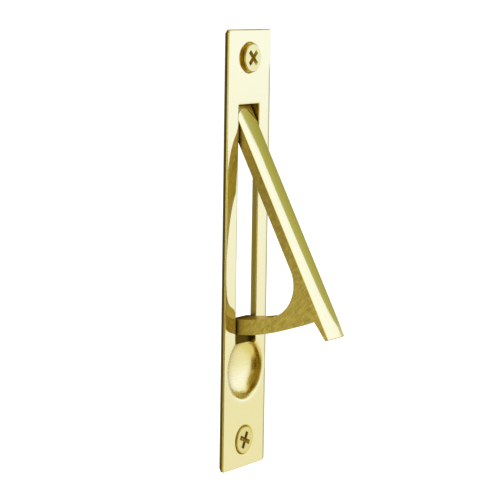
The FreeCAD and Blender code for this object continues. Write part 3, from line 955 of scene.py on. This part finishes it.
def card(name, colour, distance, corners, seen_from=(0, 0, 0), left_colour=None):
    """A flat studio card that only the polish sees, set by the directions of its corners in turn."""
    deselect()
    bpy.ops.mesh.primitive_circle_add(vertices=len(corners), fill_type="NGON")
    made = bpy.context.active_object
    made.name = name
    rays = [toward(azimuth, elevation, 1) for azimuth, elevation in corners]
    middle = sum(rays, Vector()).normalized()
    for vertex, ray in zip(made.data.vertices, rays):
        vertex.co = Vector(seen_from) + ray * (distance / ray.dot(middle))
    made.data.materials.append(glow_material(name, colour, left_colour))
    made.visible_camera = False
    made.visible_diffuse = False
    made.visible_transmission = False
    made.visible_volume_scatter = False
    made.visible_shadow = False


def floor_material(studio):
    """Pale floor that is white to the camera and in the polish, and keeps the shadow."""
    material, w = empty_material("studio_floor")
    rays = w.node("ShaderNodeLightPath").outputs
    x, y, _ = w.axes(w.coordinates())
    flat = w.node("ShaderNodeCombineXYZ", {"X": x, "Y": y}).outputs[0]
    reach = w.vector("LENGTH", flat, output="Value")

    # What the camera and diffuse light see
    pale = w.node("ShaderNodeBsdfDiffuse", {"Color": rgba(studio.floor_colour)}).outputs[0]
    lift = w.node("ShaderNodeEmission", {"Color": (1, 1, 1, 1), "Strength": FLOOR_LIFT}).outputs[0]
    lifted = w.node("ShaderNodeAddShader", {0: pale, 1: lift}).outputs[0]
    seen = w.either(rays["Is Camera Ray"], rays["Is Transmission Ray"])
    to_eye = w.node("ShaderNodeMixShader", {0: seen, 1: pale, 2: lifted}).outputs[0]

    # What the polish sees
    nearness = w.math("INVERSE_SQRT", w.math("MAXIMUM", reach, NEAREST))
    nearness = w.slope(nearness, FAR_FLOOR, NEAR_FLOOR)
    tint = w.blend(nearness, rgba(studio.far_glow), rgba(studio.near_glow))
    edge = (cos(studio.edge_side), sin(studio.edge_side), 0)
    beside = w.vector("DOT_PRODUCT", w.vector("NORMALIZE", flat), edge, output="Value")
    tint = w.blend(w.step(beside, -0.02, 0.06), tint, rgba(studio.edge_glow))
    tint = w.blend(w.step(reach, BELOW_OUTER, BELOW_INNER), tint, rgba(studio.under_glow))
    in_polish = w.node("ShaderNodeEmission", {"Color": tint, "Strength": 1.0}).outputs[0]

    both = w.node("ShaderNodeMixShader", {0: rays["Is Glossy Ray"], 1: to_eye, 2: in_polish}).outputs[0]
    w.node("ShaderNodeOutputMaterial", {"Surface": both})
    return material


def area_lamp(name, place, width, height, power):
    """A soft rectangular lamp that faces the pull."""
    deselect()
    bpy.ops.object.light_add(type="AREA", location=place)
    lamp = bpy.context.active_object
    lamp.name = name
    lamp.data.shape = "RECTANGLE"
    lamp.data.size = width
    lamp.data.size_y = height
    lamp.data.energy = power
    lamp.rotation_euler = place.to_track_quat("Z", "Y").to_euler()
    lamp.visible_camera = False
    lamp.visible_glossy = False


def set_backdrop(scene, studio):
    """The floor and the white world behind it."""
    deselect()
    bpy.ops.mesh.primitive_plane_add(size=FLOOR_SIZE, location=(0, 0, PLATE_LOW[2] - studio.floor_drop))
    floor = bpy.context.active_object
    floor.name = "studio_floor"
    floor.data.materials.append(floor_material(studio))
    world = bpy.data.worlds.new("studio_white")
    world.use_nodes = True
    backdrop = world.node_tree.nodes["Background"]
    backdrop.inputs["Color"].default_value = (1, 1, 1, 1)
    backdrop.inputs["Strength"].default_value = 1.0
    scene.world = world


def set_camera(scene, studio):
    """The camera at the photograph's viewing angle."""
    tilt, yaw, roll = studio.camera_turn
    looking = (Matrix.Rotation(roll, 3, "Z") @ Matrix.Rotation(tilt, 3, "X") @ Matrix.Rotation(yaw, 3, "Y")
               @ Matrix(((1, 0, 0), (0, 0, -1), (0, 1, 0))))
    axes = Matrix((looking[0], -looking[1], -looking[2])).transposed()
    deselect()
    bpy.ops.object.camera_add()
    camera = bpy.context.active_object
    camera.name = "studio_camera"
    camera.matrix_world = Matrix.Translation(studio.camera_place) @ axes.to_4x4()
    camera.data.sensor_width = 36
    camera.data.lens = studio.lens
    camera.data.clip_start = 0.01
    camera.data.clip_end = 200
    scene.camera = camera


class EDGEPULL_OT_stage(bpy.types.Operator):
    """Set the floor, lamps, cards and camera"""

    bl_idname = "edgepull.stage"
    bl_label = "Studio"

    def execute(self, context):
        scene = context.scene
        studio = scene.edge_pull_studio
        scoop = (0, 0, scene.edge_pull_finish.scoop_height)
        scene.view_settings.view_transform = "Standard"
        set_backdrop(scene, studio)
        area_lamp("key_soft_box", toward(66, 25, 1.3), width=1.6, height=0.9, power=studio.key_power)
        area_lamp("top_soft_box", toward(-20, 78, 1.2), width=0.7, height=0.7, power=studio.top_power)
        card("soft_box", studio.soft_box, 1.2, window(4, 100, 0, 50))
        card("olive_card", studio.olive_card, 0.8, OLIVE_CORNERS, left_colour=studio.olive_left)
        card("back_card", studio.back_card, 1.2, window(-165, -95, -2, 60))
        card("room_card", studio.room_card, 0.11, window(-84, -18, -28, 10), seen_from=scoop)
        card("upper_room_card", studio.upper_room, 0.9, window(-85, -12, 12, 62))
        card("side_card", studio.side_card, 1.1, window(100, 160, -6, 45))
        set_camera(scene, studio)
        return {"FINISHED"}


class EDGEPULL_PT_sidebar(bpy.types.Panel):
    """The edge pull's pieces and finishes"""

    bl_label = "Edge Pull"
    bl_idname = "EDGEPULL_PT_sidebar"
    bl_space_type = "VIEW_3D"
    bl_region_type = "UI"
    bl_category = "Edge Pull"

    def draw(self, context):
        layout = self.layout
        for operator in OPERATORS:
            layout.operator(operator.bl_idname)
        for name in SETTINGS:
            group = getattr(context.scene, name)
            box = layout.box()
            for setting in group.__annotations__:
                box.prop(group, setting)


OPERATORS = (EDGEPULL_OT_plate, EDGEPULL_OT_lever, EDGEPULL_OT_pin, EDGEPULL_OT_screws, EDGEPULL_OT_stage)
SETTINGS = {
    "edge_pull_finish": BrassFinish,
    "edge_pull_details": DetailSizes,
    "edge_pull_threads": ThreadSizes,
    "edge_pull_studio": StudioSetup,
}
CLASSES = (*SETTINGS.values(), *OPERATORS, EDGEPULL_PT_sidebar)


def register():
    """Add the classes and the scene's settings."""
    for cls in CLASSES:
        bpy.utils.register_class(cls)
    for name, cls in SETTINGS.items():
        setattr(bpy.types.Scene, name, PointerProperty(type=cls))


def unregister():
    """Take them away again."""
    for name in SETTINGS:
        delattr(bpy.types.Scene, name)
    for cls in reversed(CLASSES):
        bpy.utils.unregister_class(cls)


def main():
    """Build the dressed pull and its studio."""
    register()
    bpy.ops.edgepull.plate()
    bpy.ops.edgepull.lever()
    bpy.ops.edgepull.pin()
    bpy.ops.edgepull.screws()
    bpy.ops.edgepull.stage()


if __name__ == "__main__":
    main()
